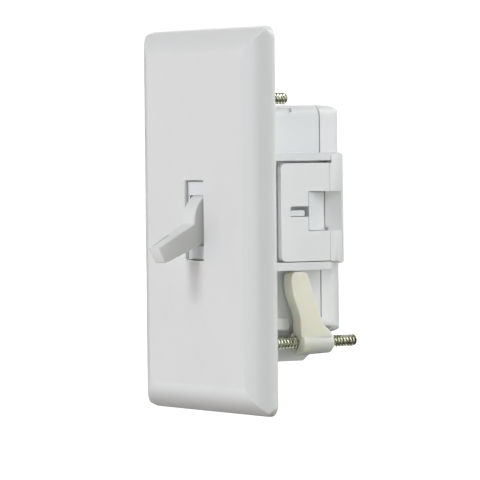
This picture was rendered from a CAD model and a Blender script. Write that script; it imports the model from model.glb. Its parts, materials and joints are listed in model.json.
import json
from math import atan2, cos, floor, hypot, pi, radians, sin, sqrt, tan

import bmesh
import bpy
from mathutils import Matrix, Vector


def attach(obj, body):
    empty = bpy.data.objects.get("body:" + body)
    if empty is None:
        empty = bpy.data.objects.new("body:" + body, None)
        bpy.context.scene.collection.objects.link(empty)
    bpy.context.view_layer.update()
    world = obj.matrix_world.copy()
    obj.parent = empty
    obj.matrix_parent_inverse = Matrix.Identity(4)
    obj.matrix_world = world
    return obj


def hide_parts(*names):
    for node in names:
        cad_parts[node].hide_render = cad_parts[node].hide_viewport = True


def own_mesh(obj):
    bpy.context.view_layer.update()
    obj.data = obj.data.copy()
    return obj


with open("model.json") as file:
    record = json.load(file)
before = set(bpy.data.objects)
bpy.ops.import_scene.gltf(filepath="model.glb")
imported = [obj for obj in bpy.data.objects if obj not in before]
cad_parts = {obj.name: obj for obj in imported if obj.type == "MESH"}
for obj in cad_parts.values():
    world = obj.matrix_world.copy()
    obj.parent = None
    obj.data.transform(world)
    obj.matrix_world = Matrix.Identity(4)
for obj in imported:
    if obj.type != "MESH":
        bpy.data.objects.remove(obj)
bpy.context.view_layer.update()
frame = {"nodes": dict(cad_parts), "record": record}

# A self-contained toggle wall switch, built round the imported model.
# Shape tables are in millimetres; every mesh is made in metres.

MM = 0.001
scene = bpy.context.scene


# ---------------------------------------------------------------- mesh helpers

class Shape:
    """Points in millimetres and faces, gathered from rings, tubes and turned profiles."""

    def __init__(self):
        self.points = []
        self.faces = []

    def rings(self, rings, caps=True, loop=False):
        """Quads between rings of equally many points; caps closes both ends, loop joins last to first."""
        base, count = len(self.points), len(rings[0])
        for ring in rings:
            self.points += ring
        spans = len(rings) if loop else len(rings) - 1
        for i in range(spans):
            a, b = base + i * count, base + (i + 1) % len(rings) * count
            for j in range(count):
                k = (j + 1) % count
                self.faces.append((a + j, a + k, b + k, b + j))
        if caps and not loop:
            self.faces.append(tuple(base + j for j in range(count))[::-1])
            last = base + (len(rings) - 1) * count
            self.faces.append(tuple(last + j for j in range(count)))
        return base

    def box(self, low, high, edge=0.15):
        """A box with chamfered edges: each corner has a point on each of the three faces that meet there."""
        base = len(self.points)
        for corner in range(8):
            bits = [corner >> axis & 1 for axis in range(3)]
            for flat in range(3):
                point = [high[i] - edge if bits[i] else low[i] + edge for i in range(3)]
                point[flat] = high[flat] if bits[flat] else low[flat]
                self.points.append(tuple(point))
            self.faces.append(tuple(base + corner * 3 + i for i in range(3)))
        for axis in range(3):
            u, v = 1 << (axis + 1) % 3, 1 << (axis + 2) % 3
            for end in (0, 1 << axis):
                self.faces.append(tuple(base + (end + c) * 3 + axis for c in (0, u, u + v, v)))
            for c in (0, u, v, u + v):
                first, second = base + c * 3, base + (c + (1 << axis)) * 3
                iu, iv = (axis + 1) % 3, (axis + 2) % 3
                self.faces.append((first + iu, second + iu, second + iv, first + iv))

    def turned(self, profile, place, segments=32):
        """A turned solid: profile lists (radius, distance), place(radius, angle, distance) gives a point."""
        rings = []
        for r, d in profile:
            rings.append([place(r, 2 * pi * j / segments, d) for j in range(segments)])
        self.rings(rings)

    def piece(self, name, sharp=40):
        """The finished mesh object."""
        mesh = bpy.data.meshes.new(name)
        mesh.from_pydata([Vector(p) * MM for p in self.points], [], self.faces)
        clean(mesh, sharp)
        made = bpy.data.objects.new(name, mesh)
        scene.collection.objects.link(made)
        return made


def clean(mesh, sharp):
    """Merges doubled points, turns every face outward and shades it, keeping sharp edges crisp."""
    work = bmesh.new()
    work.from_mesh(mesh)
    bmesh.ops.remove_doubles(work, verts=work.verts, dist=2e-7)
    bmesh.ops.dissolve_degenerate(work, edges=work.edges, dist=1e-7)
    bmesh.ops.recalc_face_normals(work, faces=work.faces)
    work.to_mesh(mesh)
    work.free()
    mesh.shade_smooth()
    mesh.set_sharp_from_angle(angle=radians(sharp))


def finish_piece(piece, body, slot_name, nodes):
    """Gives a piece its material and body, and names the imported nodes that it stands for."""
    piece.data.materials.clear()
    piece.data.materials.append(materials[slot_name])
    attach(piece, body)
    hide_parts(*nodes)


def applied(piece):
    """Applies the piece's modifiers to its mesh."""
    bpy.context.view_layer.update()
    mesh = bpy.data.meshes.new_from_object(piece.evaluated_get(bpy.context.evaluated_depsgraph_get()))
    piece.modifiers.clear()
    piece.data = mesh


def half_turned(point):
    """The same point on the upper left clamp, half a turn round the Y axis."""
    return (-point[0], point[1], -point[2])


# ---------------------------------------------------------------- wall plate

# Outer and inner skin: half size, stand-off of the front and of the rim, width of the border, corner
PLATE_OUT = {"half": (34.925, 57.15), "front": 6.9, "rim": 1.3, "run": 8.2, "corner": 3.8}
PLATE_IN = {"half": (32.925, 55.15), "front": 4.9, "rim": 0.8, "run": 7.2, "corner": 1.8}
OPENING_HALF = (5.15, 11.9)
OPENING_CORNER = 0.4
OPENING_EDGE = 0.22
RIM_EDGE = 0.25
RIM_TOP = 0.15
CREASE = radians(11)
MITRE_SOFT = 0.45
# Rays that fan out round each corner, and how the points are spread along them
FAN_INSET = 12.5
FAN_ANGLES = [0, 9, 18, 26, 33, 38, 41.5, 43.8, 45, 46.2, 48.5, 52, 57, 64, 72, 81, 90]
SIDE_STEPS = 18
END_STEPS = 10
FLAT_STEPS = [0, 0.04, 0.3, 0.65, 0.97, 0.995]
BORDER_STEPS = [1.0, 0.975, 0.94, 0.87, 0.78, 0.68, 0.57, 0.46, 0.35, 0.25, 0.16, 0.09, 0.03]
# Catches: half length, reach of stem and hook; then the places of the ribs along the ends and the sides
CATCH_HALF = 6
CATCH_STEM = (49.3, 50.6)
CATCH_HOOK = (48.3, 49.5)
END_GUSSETS = (-22, -11, 11, 22)
SIDE_GUSSETS = (-40, -24, -8, 8, 24, 40)


def border_height(form, d):
    """Stand-off of a border at distance d from the edge: an arc up to the crease, then a straight rise."""
    rise, run = form["front"] - form["rim"], form["run"]
    if d > run:
        return form["front"] + (d - run) * tan(CREASE)
    chord = atan2(rise, run)
    half_turn = chord - CREASE
    r = hypot(rise, run) / (2 * sin(half_turn))
    steep = chord + half_turn
    return form["rim"] + sqrt(r * r - (r * sin(steep) - d) ** 2) - r * cos(steep)


def plate_height(form, x, z):
    """Stand-off of the plate's skin: the lower of the two borders, softly mitred, and the flat front."""
    a = border_height(form, form["half"][0] - abs(x))
    b = border_height(form, form["half"][1] - abs(z))
    gap = max(MITRE_SOFT - abs(a - b), 0)
    return min(min(a, b) - gap * gap / (4 * MITRE_SOFT), form["front"])


def quadrant_rays(form):
    """Rays of the upper right quarter: inner anchor, point of the outline, point of the opening."""
    (hx, hz), r = form["half"], form["corner"]
    (ox, oz), soft = OPENING_HALF, OPENING_CORNER
    ax, az = hx - FAN_INSET, hz - FAN_INSET
    straight = [(FAN_INSET - r) * k / 5 for k in range(5)]
    edge = [(hx, az + t) for t in straight]
    edge += [(hx - r + r * cos(radians(a)), hz - r + r * sin(radians(a))) for a in FAN_ANGLES]
    edge += [(ax + t, hz) for t in straight[::-1]]
    rays = [((ax, az * k / SIDE_STEPS), (hx, az * k / SIDE_STEPS), (ox, (oz - soft) * k / SIDE_STEPS))
            for k in range(SIDE_STEPS)]
    for i, point in enumerate(edge):
        turn = i / (len(edge) - 1) * pi / 2
        rays.append(((ax, az), point, (ox - soft + soft * cos(turn), oz - soft + soft * sin(turn))))
    rays += [((ax * k / END_STEPS, az), (ax * k / END_STEPS, hz), ((ox - soft) * k / END_STEPS, oz))
             for k in range(END_STEPS - 1, 0, -1)]
    return rays


def plate_rays(form):
    """The same rays all the way round."""
    quarter = quadrant_rays(form)
    middle = ((0, form["half"][1] - FAN_INSET), (0, form["half"][1]), (0, OPENING_HALF[1]))

    def flipped(rays, sx, sz):
        return [tuple((sx * x, sz * z) for x, z in ray) for ray in rays]

    return (quarter + [middle] + flipped(quarter[:0:-1], -1, 1) + flipped(quarter, -1, -1)
            + flipped([middle], 1, -1) + flipped(quarter[:0:-1], 1, -1))


def between(a, b, t):
    return (a[0] + (b[0] - a[0]) * t, a[1] + (b[1] - a[1]) * t)


def skin_column(form, anchor, edge, opening):
    """Points of the plate's skin along one ray, from the opening to the outline."""
    low, high = 0.0, 1.0
    for _ in range(40):
        mid = (low + high) / 2
        on_flat = plate_height(form, *between(anchor, edge, mid)) >= form["front"] - 1e-9
        low, high = (mid, high) if on_flat else (low, mid)
    crease = between(anchor, edge, low)
    column = [(x, -form["front"], z) for x, z in (between(opening, crease, t) for t in FLAT_STEPS)]
    for s in BORDER_STEPS:
        x, z = between(edge, crease, s)
        column.append((x, -plate_height(form, x, z), z))
    return column


def plate_skin(form, rays):
    """Rings of the plate's skin, from the opening to the outline."""
    columns = [skin_column(form, *ray) for ray in rays]
    return [list(ring) for ring in zip(*columns)]


def outward(x, z, half, corner):
    """Unit direction out of a round-cornered rectangle at a point of its outline."""
    dx = max(abs(x) - half[0] + corner, 0)
    dz = max(abs(z) - half[1] + corner, 0)
    size = hypot(dx, dz)
    return (dx / size * (1 if x > 0 else -1), dz / size * (1 if z > 0 else -1))


def plate_rim(rays):
    """Rings down the outer rim, with a small round edge at the back."""
    rings = [[], [], []]
    for _, (x, z), _ in rays:
        nx, nz = outward(x, z, PLATE_OUT["half"], PLATE_OUT["corner"])
        rings[0].append((x, -plate_height(PLATE_OUT, x, z) + RIM_TOP, z))
        rings[1].append((x, -RIM_EDGE, z))
        rings[2].append((x - nx * RIM_EDGE, 0, z - nz * RIM_EDGE))
    return rings


def plate_shell(shape):
    """The moulded shell: inner skin, opening, outer skin and rim, all in one loop of rings."""
    outer_rays, inner_rays = plate_rays(PLATE_OUT), plate_rays(PLATE_IN)
    outer, inner = plate_skin(PLATE_OUT, outer_rays), plate_skin(PLATE_IN, inner_rays)
    inner_foot = [(x, 0, z) for _, (x, z), _ in inner_rays]
    inner_top = [(x, -plate_height(PLATE_IN, x, z), z) for _, (x, z), _ in inner_rays]
    mouth = [(x, -PLATE_OUT["front"] + OPENING_EDGE, z) for _, _, (x, z) in outer_rays]
    lip = []
    for _, _, (x, z) in outer_rays:
        nx, nz = outward(x, z, OPENING_HALF, OPENING_CORNER)
        lip.append((x + nx * OPENING_EDGE, -PLATE_OUT["front"], z + nz * OPENING_EDGE))
    outer[0] = lip
    rings = [inner_foot, inner_top] + inner[::-1] + [mouth] + outer + plate_rim(outer_rays)
    shape.rings(rings, loop=True)


def plate_gusset(shape, edge, place):
    """Thin rib in the hollow of the plate's border, which follows the inner skin."""
    rings = []
    for d in (-0.2, 0.2, 0.8, 1.5, 2.2, 3.0, 3.6):
        top = -border_height(PLATE_IN, max(d, 0)) - 0.2
        foot = -0.6 - max(d - 2.2, 0) * 1.5
        section = ((-0.5, top), (0.5, top), (0.4, foot), (-0.4, foot))
        rings.append([place(edge - d, along, y) for along, y in section])
    shape.rings(rings)


def plate_inside(shape):
    """Catches for the flange, and the ribs that stiffen the plate behind its borders."""
    side, end = PLATE_IN["half"]
    for sign in (1, -1):
        low, high = sorted(sign * z for z in CATCH_STEM)
        shape.box((-CATCH_HALF, -5.0, low), (CATCH_HALF, -0.15, high))
        low, high = sorted(sign * z for z in CATCH_HOOK)
        shape.box((-CATCH_HALF, -0.8, low), (CATCH_HALF, -0.2, high))
        for x in END_GUSSETS:
            plate_gusset(shape, end, lambda across, along, y: (x + along, y, sign * across))
        for z in SIDE_GUSSETS:
            plate_gusset(shape, side, lambda across, along, y: (sign * across, y, z + along))


def make_plate():
    shape = Shape()
    plate_shell(shape)
    plate_inside(shape)
    finish_piece(shape.piece("plate_shell", 35), "housing", "plate_white", ["wall_plate"])


# ---------------------------------------------------------------- toggle

TOGGLE_Y = 0.4
TOGGLE_ANGLE = radians(26.5)
HUB_R = 9.3
HUB_W = 6.8
LEVER_L = 22.7
LEVER_ROOT = 6.6
LEVER_TIP = 5.3
TIP_W = 6.0
TIP_ROUND = 0.5
TOGGLE_EDGE = 0.45
EDGE_STEPS = 4
# Shallow finger recesses above and below the lever: ends, distance from the sides, depth, width of the wall
RECESS_REAR = -15.3
RECESS_FRONT = -21.75
RECESS_RIM = 0.9
RECESS_DEPTH = 0.3
RECESS_WALL = 0.12


def at_toggle(point):
    """A point drawn for a level lever, turned down to the off position."""
    x, y, z = point
    c, s = cos(TOGGLE_ANGLE), sin(TOGGLE_ANGLE)
    return (x, TOGGLE_Y + y * c - z * s, y * s + z * c)


def lever_half(y):
    """Half the lever's thickness at y."""
    t = max(-y - HUB_R, 0) / (LEVER_L - HUB_R)
    return (LEVER_ROOT + (LEVER_TIP - LEVER_ROOT) * t) / 2


def lever_width(y):
    """The lever's width at y."""
    t = max(-y - HUB_R, 0) / (LEVER_L - HUB_R)
    return HUB_W + (TIP_W - HUB_W) * t


def toggle_outline():
    """The toggle's upper side outline, from the hub's back to the lever's tip, and the fold's index."""
    meet = sqrt(HUB_R ** 2 - (LEVER_ROOT / 2) ** 2)
    first = atan2(LEVER_ROOT / 2, -meet)
    points = []
    for k in range(14):
        a = pi / 2 + (first - pi / 2) * k / 14
        points.append((HUB_R * cos(a), HUB_R * sin(a)))
    points += [(-meet - 0.05, LEVER_ROOT / 2 + 0.12), (-meet - 0.2, LEVER_ROOT / 2)]
    fold = len(points)
    points.append((-HUB_R, LEVER_ROOT / 2))
    last = -LEVER_L + TIP_ROUND
    places = (-11, -13, RECESS_REAR, RECESS_REAR - RECESS_WALL, -17, -19, -20.5,
              RECESS_FRONT + RECESS_WALL, RECESS_FRONT, last)
    points += [(y, lever_half(y)) for y in places]
    top = lever_half(last) - TIP_ROUND
    for k in range(1, 6):
        a = pi / 2 * k / 5
        points.append((last - TIP_ROUND * sin(a), top + TIP_ROUND * cos(a)))
    return points, fold


def inset_loop(loop, distance):
    """A closed outline moved inward, with mitred corners."""
    moved = []
    count = len(loop)
    for i, (y, z) in enumerate(loop):
        ay, az = loop[i - 1]
        by, bz = loop[(i + 1) % count]
        first, second = (y - ay, z - az), (by - y, bz - z)
        na, nb = hypot(*first), hypot(*second)
        normal = (-first[1] / na - second[1] / nb, first[0] / na + second[0] / nb)
        scale = 2 * distance / (normal[0] ** 2 + normal[1] ** 2)
        moved.append((y + normal[0] * scale, z + normal[1] * scale))
    return moved


def dished(loop):
    """The toggle's outline with the bottoms of both finger recesses."""
    rear, front = RECESS_REAR - RECESS_WALL / 2, RECESS_FRONT + RECESS_WALL / 2
    line = []
    for y, z in loop:
        if front < y < rear:
            z -= RECESS_DEPTH if z > 0 else -RECESS_DEPTH
        line.append((y, z))
    return line


def toggle_side(loop, side):
    """Rings from the toggle's flat side over the soft edge to the bottoms of the finger recesses."""
    lines = []
    for k in range(EDGE_STEPS, -1, -1):
        turn = pi / 2 * k / EDGE_STEPS
        lines.append((TOGGLE_EDGE * (1 - sin(turn)), inset_loop(loop, TOGGLE_EDGE * (1 - cos(turn)))))
    lines += [(RECESS_RIM, loop), (RECESS_RIM + RECESS_WALL, dished(loop))]
    return [[(side * (lever_width(y) / 2 - inset), y, z) for y, z in line] for inset, line in lines]


def toggle_body(shape):
    """Hub and lever in one form, with soft edges along both sides and a finger recess above and below."""
    half, fold = toggle_outline()
    count = len(half)
    loop = half + [(y, -z) for y, z in half[::-1]]
    rings = toggle_side(loop, -1) + toggle_side(loop, 1)[::-1]
    base = shape.rings([[at_toggle(p) for p in ring] for ring in rings], caps=False)
    total = 2 * count
    for start in (base, base + (len(rings) - 1) * total):
        shape.faces.append(tuple(start + i for i in (*range(fold + 1), *range(total - 1 - fold, total))))
        for i in range(fold, count - 1):
            shape.faces.append((start + i, start + i + 1, start + total - 2 - i, start + total - 1 - i))


def make_toggle():
    shape = Shape()
    toggle_body(shape)

    def across(r, angle, d):
        return at_toggle((d, r * cos(angle), r * sin(angle)))

    def along(r, angle, d):
        return at_toggle((r * sin(angle), d, r * cos(angle)))

    shape.turned([(0, -6.1), (1.35, -6.1), (1.6, -5.85), (1.6, 5.85), (1.35, 6.1), (0, 6.1)], across)
    shape.turned([(0, 1), (1.7, 1), (1.7, 9), (2.4, 9), (2.6, 8.8), (2.6, -1), (0, -1)], along)
    finish_piece(shape.piece("toggle_handle", 38), "toggle", "toggle_white", ["toggle_lever"])


def make_spring():
    """The coil spring in the toggle's tail, wound with closed end turns."""
    wire, radius, low, high, turns, per_turn = 0.25, 1.25, 1.3, 5.85, 7, 20
    rings = []
    for k in range(turns * per_turn + 1):
        turn = k / per_turn
        free = min(max((turn - 1) / (turns - 2), 0), 1)
        close = wire * 2 * (min(turn, 1) + max(turn - turns + 1, 0))
        y = low + close + (high - low - wire * 4) * free
        ring = []
        for j in range(8):
            a = 2 * pi * j / 8
            r = radius + wire * cos(a)
            ring.append(at_toggle((r * sin(2 * pi * turn), y + wire * sin(a), r * cos(2 * pi * turn))))
        rings.append(ring)
    shape = Shape()
    shape.rings(rings)
    spring = shape.piece("coil_spring", 60)
    finish_piece(spring, "toggle", "spring_steel", ["toggle_spring"])
    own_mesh(spring)


# ---------------------------------------------------------------- clamp screws

SCREW_X = 18.5
SCREW_Z = -36.5
THREAD_R = 1.75
THREAD_ROOT = 1.22
THREAD_PITCH = 1.06
# Thread profile over one pitch: place along it, and height from root to crest
THREAD_FORM = [(0.0, 1.0), (0.1, 1.0), (0.25, 0.52), (0.41, 0.06), (0.53, 0.0), (0.65, 0.06), (0.83, 0.52)]
THREAD_SIDES = 24
SCREW_START = -1.9
SCREW_END = 37.7
HEAD_BACK = -1.8
HEAD_FRONT = -4.1
HEAD_SIDES = 48


def at_screw(r, angle, d):
    """A point round the lower right screw; the angle turns clockwise for someone facing the wall."""
    return (SCREW_X + r * sin(angle), d, SCREW_Z + r * cos(angle))


def thread(shape):
    """A right-hand thread whose rows follow the helix, with a chamfered end."""
    rows = len(THREAD_FORM)
    first = floor(SCREW_START / THREAD_PITCH) - 1
    last = floor(SCREW_END / THREAD_PITCH) + 1
    base = len(shape.points)
    count = (last - first) * rows
    for j in range(count):
        phase, height = THREAD_FORM[j % rows]
        for i in range(THREAD_SIDES):
            d = THREAD_PITCH * (first + j // rows + phase + i / THREAD_SIDES)
            d = min(max(d, SCREW_START), SCREW_END)
            r = THREAD_ROOT + (THREAD_R - THREAD_ROOT) * height
            r = min(r, THREAD_ROOT + 0.1 + SCREW_END - d, THREAD_ROOT + (d - SCREW_START) * 0.8)
            shape.points.append(at_screw(r, 2 * pi * i / THREAD_SIDES, d))
    for j in range(count - 1):
        for i in range(THREAD_SIDES):
            step = 1 if i < THREAD_SIDES - 1 else 1 - THREAD_SIDES + rows * THREAD_SIDES
            corners = [j * THREAD_SIDES + i + k for k in (0, step, step + THREAD_SIDES, THREAD_SIDES)]
            if corners[2] < count * THREAD_SIDES:
                shape.faces.append(tuple(base + c for c in corners))
    for j in (0, count - 1):
        shape.faces.append(tuple(base + j * THREAD_SIDES + i for i in range(THREAD_SIDES)))


def cross_outline(half, wide):
    """A cross with arms of the given half length and half width, starting on the arm at angle 0."""
    corner = [(half, -wide), (half, wide), (wide, wide)]
    return [(x * c - y * s, x * s + y * c) for c, s in ((1, 0), (0, 1), (-1, 0), (0, -1)) for x, y in corner]


def screw_head(shape):
    """Round head, open in front where the cross recess goes; returns the rim's first point."""
    profile = [(1.2, HEAD_BACK), (2.9, HEAD_BACK), (3.2, -2.05), (3.2, -2.7), (3.0, -3.3), (2.62, -3.8),
               (2.3, -4.03)]
    rings = [[at_screw(r, 2 * pi * j / HEAD_SIDES, d) for j in range(HEAD_SIDES)] for r, d in profile]
    base = shape.rings(rings, caps=False)
    shape.faces.append(tuple(base + j for j in range(HEAD_SIDES)))
    return base + (len(rings) - 1) * HEAD_SIDES


def cross_recess(shape):
    """Walls and floor of the cross recess; returns its first point."""
    start = len(shape.points)
    for depth, half, wide in ((HEAD_FRONT, 1.9, 0.42), (HEAD_FRONT + 0.08, 1.82, 0.36), (-2.95, 1.3, 0.3)):
        shape.points += [(SCREW_X + x, depth, SCREW_Z + z) for z, x in cross_outline(half, wide)]
    for level in (0, 1):
        for j in range(12):
            a, b = start + level * 12 + j, start + level * 12 + (j + 1) % 12
            shape.faces.append((a, b, b + 12, a + 12))
    shape.faces.append(tuple(start + 24 + j for j in range(12)))
    return start


def head_face(shape, rim, start):
    """The head's front, from its rim to the cross recess."""
    quarter = HEAD_SIDES // 4
    for q in range(4):
        tip_a, tip_b, notch = (start + (q * 3 + k) % 12 for k in range(3))
        next_tip = start + (q * 3 + 3) % 12
        outer = [rim + (q * quarter + k) % HEAD_SIDES for k in range(quarter + 1)]
        shape.faces.append((tip_a, outer[0], tip_b))
        for k in range(quarter // 2):
            shape.faces.append((tip_b, outer[k], outer[k + 1]))
        shape.faces.append((tip_b, outer[quarter // 2], notch))
        shape.faces.append((notch, outer[quarter // 2], next_tip))
        for k in range(quarter // 2, quarter):
            shape.faces.append((next_tip, outer[k], outer[k + 1]))


def retainer(shape):
    """Push-on ring whose teeth grip the thread."""
    outer, root, tip, front, back = 3.4, 2.45, THREAD_R + 0.03, 1.2, 1.8
    teeth, steps = 6, 6
    rings = []
    for t in range(teeth):
        for k in range(steps + 1):
            angle = 2 * pi * (t + k / steps) / teeth + (0.01 if k == 0 else 0)
            inner, lift = (root, 0) if steps // 2 <= k < steps else (tip, 0.12)
            section = [(outer - 0.1, front), (outer, front + 0.15), (outer, back - 0.1), (outer - 0.1, back),
                       (root + 0.15, back), (inner, back - lift), (inner, front + 0.2 - lift),
                       (root + 0.15, front)]
            rings.append([at_screw(r, angle, d) for r, d in section])
    shape.rings(rings, loop=True)


def on_both_sides(make, name, sharp, bodies, slot_name, nodes):
    """The lower right piece, and the same piece turned half round for the upper left."""
    shape = Shape()
    make(shape)
    for side, body in zip(("lower", "upper"), bodies):
        finish_piece(shape.piece(f"{name}_{side}", sharp), body, slot_name, [f"{nodes}_{side}"])
        shape.points = [half_turned(p) for p in shape.points]


def screw(shape):
    """Thread and head with its cross recess."""
    thread(shape)
    rim = screw_head(shape)
    head_face(shape, rim, cross_recess(shape))


def make_screws():
    bodies = ("lower_screw", "upper_screw")
    on_both_sides(screw, "threaded_screw", 50, bodies, "screw_zinc", "clamp_screw")
    on_both_sides(retainer, "toothed_ring", 35, bodies, "spring_steel", "screw_retainer")


# ---------------------------------------------------------------- swing clamps

CLAMP_VOXEL = 0.00016
CLAMP_SMOOTHINGS = 7
CLAMP_KEPT = 0.35


def make_clamps():
    """Nylon clamps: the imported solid, with its edges and inner corners flowed into each other."""
    for side in ("lower", "upper"):
        source = frame["nodes"][f"swing_clamp_{side}"]
        clamp = bpy.data.objects.new(f"nylon_clamp_{side}", source.data.copy())
        scene.collection.objects.link(clamp)
        remesh = clamp.modifiers.new("even", "REMESH")
        remesh.mode = "VOXEL"
        remesh.voxel_size = CLAMP_VOXEL
        soften = clamp.modifiers.new("soften", "SMOOTH")
        soften.factor = 0.5
        soften.iterations = CLAMP_SMOOTHINGS
        thin = clamp.modifiers.new("thin", "DECIMATE")
        thin.ratio = CLAMP_KEPT
        applied(clamp)
        clamp.data.shade_smooth()
        finish_piece(clamp, f"{side}_clamp", "clamp_nylon", [f"swing_clamp_{side}"])


# ---------------------------------------------------------------- materials

materials = {}


def new_material(name):
    """A node material; returns its tree, its shader and the object's own coordinates."""
    made = bpy.data.materials.new(name)
    made.use_nodes = True
    materials[name] = made
    nodes = made.node_tree.nodes
    coords = nodes.new("ShaderNodeTexCoord")
    return made.node_tree, nodes["Principled BSDF"], coords.outputs["Object"]


def noise(tree, coords, size, detail=2.0, stretch=(1, 1, 1)):
    """Noise whose features are about size metres across."""
    mapping = tree.nodes.new("ShaderNodeMapping")
    mapping.inputs["Scale"].default_value = stretch
    tree.links.new(coords, mapping.inputs["Vector"])
    made = tree.nodes.new("ShaderNodeTexNoise")
    made.inputs["Scale"].default_value = 1 / size
    made.inputs["Detail"].default_value = detail
    tree.links.new(mapping.outputs["Vector"], made.inputs["Vector"])
    return made.outputs["Fac"]


def colour_between(tree, factor, low, high):
    """A colour that runs from low to high with the factor."""
    ramp = tree.nodes.new("ShaderNodeValToRGB")
    ramp.color_ramp.elements[0].position = 0.3
    ramp.color_ramp.elements[1].position = 0.7
    ramp.color_ramp.elements[0].color = (*low, 1)
    ramp.color_ramp.elements[1].color = (*high, 1)
    tree.links.new(factor, ramp.inputs["Fac"])
    return ramp.outputs["Color"]


def value_between(tree, factor, low, high):
    """A value that runs from low to high with the factor."""
    spread = tree.nodes.new("ShaderNodeMapRange")
    spread.inputs["From Min"].default_value = 0.3
    spread.inputs["From Max"].default_value = 0.7
    spread.inputs["To Min"].default_value = low
    spread.inputs["To Max"].default_value = high
    tree.links.new(factor, spread.inputs["Value"])
    return spread.outputs["Result"]


def bump(tree, height, distance, below=None):
    """A bumpy normal, laid over the normal below."""
    made = tree.nodes.new("ShaderNodeBump")
    made.inputs["Strength"].default_value = 1.0
    made.inputs["Distance"].default_value = distance
    tree.links.new(height, made.inputs["Height"])
    if below:
        tree.links.new(below, made.inputs["Normal"])
    return made.outputs["Normal"]


def moulded(name, colour, shade, roughness, grain, waviness=0.0):
    """Moulded plastic: faint cloudy colour, uneven gloss, a fine grain and a slow waviness of the skin."""
    tree, shader, coords = new_material(name)
    cloud = noise(tree, coords, 0.012, 3)
    fine = noise(tree, coords, 0.00035, 2)
    tree.links.new(colour_between(tree, cloud, shade, colour), shader.inputs["Base Color"])
    gloss = value_between(tree, noise(tree, coords, 0.004, 3), *roughness)
    tree.links.new(gloss, shader.inputs["Roughness"])
    slow = bump(tree, noise(tree, coords, 0.02, 1), waviness) if waviness else None
    tree.links.new(bump(tree, fine, grain, below=slow), shader.inputs["Normal"])
    return shader


def metal(name, bright, dull, roughness, grain, stretch=(1, 1, 1)):
    """Plated or stamped metal: patchy tone, uneven gloss, and fine marks that may run one way."""
    tree, shader, coords = new_material(name)
    shader.inputs["Metallic"].default_value = 1.0
    patches = noise(tree, coords, 0.0015, 4)
    tree.links.new(colour_between(tree, patches, dull, bright), shader.inputs["Base Color"])
    gloss = value_between(tree, noise(tree, coords, 0.0008, 3), *roughness)
    tree.links.new(gloss, shader.inputs["Roughness"])
    tree.links.new(bump(tree, noise(tree, coords, 0.00025, 3, stretch), grain), shader.inputs["Normal"])


def make_materials():
    plate = moulded("plate_white", (0.88, 0.88, 0.876), (0.865, 0.863, 0.86), (0.29, 0.33), 8e-7, 3e-6)
    toggle = moulded("toggle_white", (0.88, 0.88, 0.872), (0.865, 0.865, 0.856), (0.30, 0.35), 1e-6)
    for glossy in (plate, toggle):
        glossy.inputs["Coat Weight"].default_value = 0.2
        glossy.inputs["Coat Roughness"].default_value = 0.29
    moulded("housing_white", (0.845, 0.86, 0.868), (0.825, 0.842, 0.85), (0.40, 0.52), 4e-6)
    moulded("cover_white", (0.895, 0.903, 0.906), (0.875, 0.885, 0.89), (0.36, 0.48), 3.5e-6)
    moulded("carrier_grey", (0.075, 0.08, 0.085), (0.06, 0.064, 0.07), (0.45, 0.6), 6e-6)
    moulded("bumper_rubber", (0.022, 0.022, 0.024), (0.014, 0.014, 0.016), (0.65, 0.8), 1e-5)
    nylon = moulded("clamp_nylon", (0.905, 0.885, 0.775), (0.87, 0.845, 0.715), (0.30, 0.40), 2e-6)
    nylon.inputs["Subsurface Weight"].default_value = 0.85
    nylon.inputs["Subsurface Radius"].default_value = (1.0, 0.85, 0.55)
    nylon.inputs["Subsurface Scale"].default_value = 0.003
    metal("screw_zinc", (0.80, 0.81, 0.64), (0.20, 0.21, 0.14), (0.11, 0.21), 2e-6)
    metal("terminal_brass", (0.80, 0.58, 0.26), (0.62, 0.42, 0.16), (0.29, 0.42), 3e-6, (1, 0.15, 1))
    metal("contact_silver", (0.86, 0.85, 0.82), (0.70, 0.69, 0.66), (0.29, 0.45), 3e-6)
    metal("spring_steel", (0.58, 0.58, 0.58), (0.42, 0.42, 0.43), (0.29, 0.42), 2e-6, (0.2, 1, 0.2))


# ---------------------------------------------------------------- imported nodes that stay

SOFT_EDGES = {"front_housing": 0.16, "rear_cover": 0.18, "contact_base": 0.2,
              "bumper_on": 0.15, "bumper_off": 0.15, "contact_rocker": 0.08,
              "line_terminal": 0.06, "load_terminal": 0.06, "ground_terminal": 0.06}


def soften_edges(node, width):
    """Small round edges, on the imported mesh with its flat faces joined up."""
    weld = node.modifiers.new("weld", "WELD")
    weld.merge_threshold = 1e-6
    flat = node.modifiers.new("flat", "DECIMATE")
    flat.decimate_type = "DISSOLVE"
    flat.angle_limit = radians(0.5)
    bevel = node.modifiers.new("soft_edges", "BEVEL")
    bevel.width = width * MM
    bevel.segments = 2
    bevel.limit_method = "ANGLE"
    bevel.angle_limit = radians(35)
    bevel.use_clamp_overlap = True


def dress_packed_nodes():
    """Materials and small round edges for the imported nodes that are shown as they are."""
    slots = {part["node"]: part["material_slot"] for part in frame["record"]["subparts"]}
    for name, node in frame["nodes"].items():
        node.data.materials.clear()
        node.data.materials.append(materials[slots[name]])
        if name in SOFT_EDGES:
            soften_edges(node, SOFT_EDGES[name])


# ---------------------------------------------------------------- studio

CAMERA_AZIMUTH = 57.863
CAMERA_ELEVATION = 1.433
CAMERA_ROLL = radians(-0.596)
CAMERA_DISTANCE = 1.14138
CAMERA_AIM = (0.007751, -0.006030)
CAMERA_LENS = 286.5
FLOOR_Z = -0.0575


def direction(azimuth, elevation):
    """Unit vector from the object; azimuth 0 is in front of the wall and 90 to its right."""
    a, e = radians(azimuth), radians(elevation)
    return Vector((sin(a) * cos(e), -cos(a) * cos(e), sin(e)))


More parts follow.
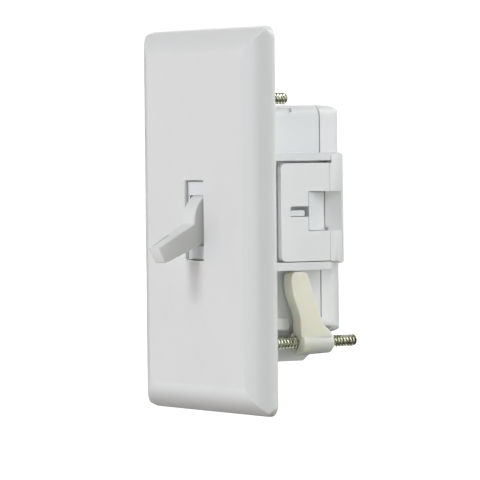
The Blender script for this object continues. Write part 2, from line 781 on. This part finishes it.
def make_camera():
    """A long lens that looks at the switch from its right side."""
    back = direction(CAMERA_AZIMUTH, CAMERA_ELEVATION)
    right = direction(CAMERA_AZIMUTH + 90, 0)
    up = back.cross(right)
    place = right * CAMERA_AIM[0] + Vector((0, 0, CAMERA_AIM[1])) + back * CAMERA_DISTANCE
    side = right * cos(CAMERA_ROLL) + up * sin(CAMERA_ROLL)
    top = up * cos(CAMERA_ROLL) - right * sin(CAMERA_ROLL)
    camera = bpy.data.objects.new("camera", bpy.data.cameras.new("camera"))
    scene.collection.objects.link(camera)
    camera.matrix_world = Matrix((side, top, back)).transposed().to_4x4()
    camera.matrix_world.translation = place
    camera.data.sensor_width = 36
    camera.data.lens = CAMERA_LENS
    camera.data.clip_end = 20
    scene.camera = camera


def make_light(name, azimuth, distance, height, size, weight):
    """A square soft light aimed at the object."""
    strongest = max(weight)
    lamp = bpy.data.objects.new(name, bpy.data.lights.new(name, "AREA"))
    lamp.data.energy = 10 * (distance ** 2 + height ** 2) * strongest
    lamp.data.size = size
    lamp.data.color = [w / strongest for w in weight]
    lamp.location = direction(azimuth, 0) * distance + Vector((0, 0, height))
    lamp.rotation_euler = (-lamp.location).to_track_quat("-Z", "Y").to_euler()
    lamp.visible_camera = False
    scene.collection.objects.link(lamp)


def make_world(above, around, below):
    """Even studio light, with its own strength from above, from around and from below."""
    world = bpy.data.worlds.new("studio")
    scene.world = world
    world.use_nodes = True
    tree = world.node_tree
    coords = tree.nodes.new("ShaderNodeTexCoord")
    split = tree.nodes.new("ShaderNodeSeparateXYZ")
    tree.links.new(coords.outputs["Generated"], split.inputs["Vector"])
    ramp = tree.nodes.new("ShaderNodeValToRGB")
    spread = tree.nodes.new("ShaderNodeMapRange")
    spread.inputs["From Min"].default_value = -1
    tree.links.new(split.outputs["Z"], spread.inputs["Value"])
    tree.links.new(spread.outputs["Result"], ramp.inputs["Fac"])
    ramp.color_ramp.elements[0].color = (*below, 1)
    ramp.color_ramp.elements[1].color = (*above, 1)
    ramp.color_ramp.elements.new(0.5).color = (*around, 1)
    tree.links.new(ramp.outputs["Color"], tree.nodes["Background"].inputs["Color"])


def make_stage():
    """Pale floor that runs up into a dome, seen by the camera only."""
    shape = Shape()
    profile = [(0, 0), (400, 0), (1500, 0), (2800, 0), (3600, 120), (4200, 500), (4600, 1200), (4500, 2400),
               (3600, 3600), (2000, 4400), (0, 4700)]
    shape.turned(profile, lambda r, a, d: (r * cos(a), r * sin(a), d + FLOOR_Z / MM), 64)
    floor = shape.piece("studio_floor", 80)
    paper = bpy.data.materials.new("studio_paper")
    paper.use_nodes = True
    floor.data.materials.append(paper)
    shader = paper.node_tree.nodes["Principled BSDF"]
    shader.inputs["Base Color"].default_value = (0.3, 0.3, 0.3, 1)
    shader.inputs["Emission Color"].default_value = (1, 1, 1, 1)
    shader.inputs["Emission Strength"].default_value = 1.0
    shader.inputs["Roughness"].default_value = 1.0
    shader.inputs["Specular IOR Level"].default_value = 0.0
    floor.visible_diffuse = False
    floor.visible_glossy = False
    floor.visible_transmission = False
    floor.visible_shadow = False


# Name, azimuth, distance, height and size of each soft light, and how bright a white card facing it becomes
LIGHTS = [("front", 0, 1.5, 0.25, 0.9, (0.26, 0.255, 0.27)),
          ("front_high", 0, 1.15, 1.05, 0.5, (0.32, 0.337, 0.35)),
          ("left", -40, 1.3, 0.1, 1.1, (0.163, 0.155, 0.15)),
          ("low_left", -50, 1.0, -0.6, 0.8, (0.24, 0.25, 0.246)),
          ("side_card", 80, 0.4, -0.13, 0.26, (0.12, 0.13, 0.12)),
          ("side_low", 112, 0.5, -0.25, 0.3, (0.07, 0.07, 0.055)),
          ("rear_mid", 125, 0.55, 0.1, 0.3, (0.26, 0.275, 0.29)),
          ("rear_high", 125, 0.8, 0.8, 0.6, (0.42, 0.415, 0.415)),
          ("back_left", -130, 1.2, 0.4, 1.0, (0.27, 0.27, 0.27))]
# Strength of the even light from above, from around and from below
SKY = [(0.245, 0.235, 0.215), (0.02, 0.02, 0.02), (0.17, 0.15, 0.145)]


def make_studio():
    scene.view_settings.view_transform = "Standard"
    make_camera()
    make_stage()
    for light in LIGHTS:
        make_light(*light)
    make_world(*SKY)


make_materials()
dress_packed_nodes()
make_plate()
make_toggle()
make_spring()
make_screws()
make_clamps()
make_studio()
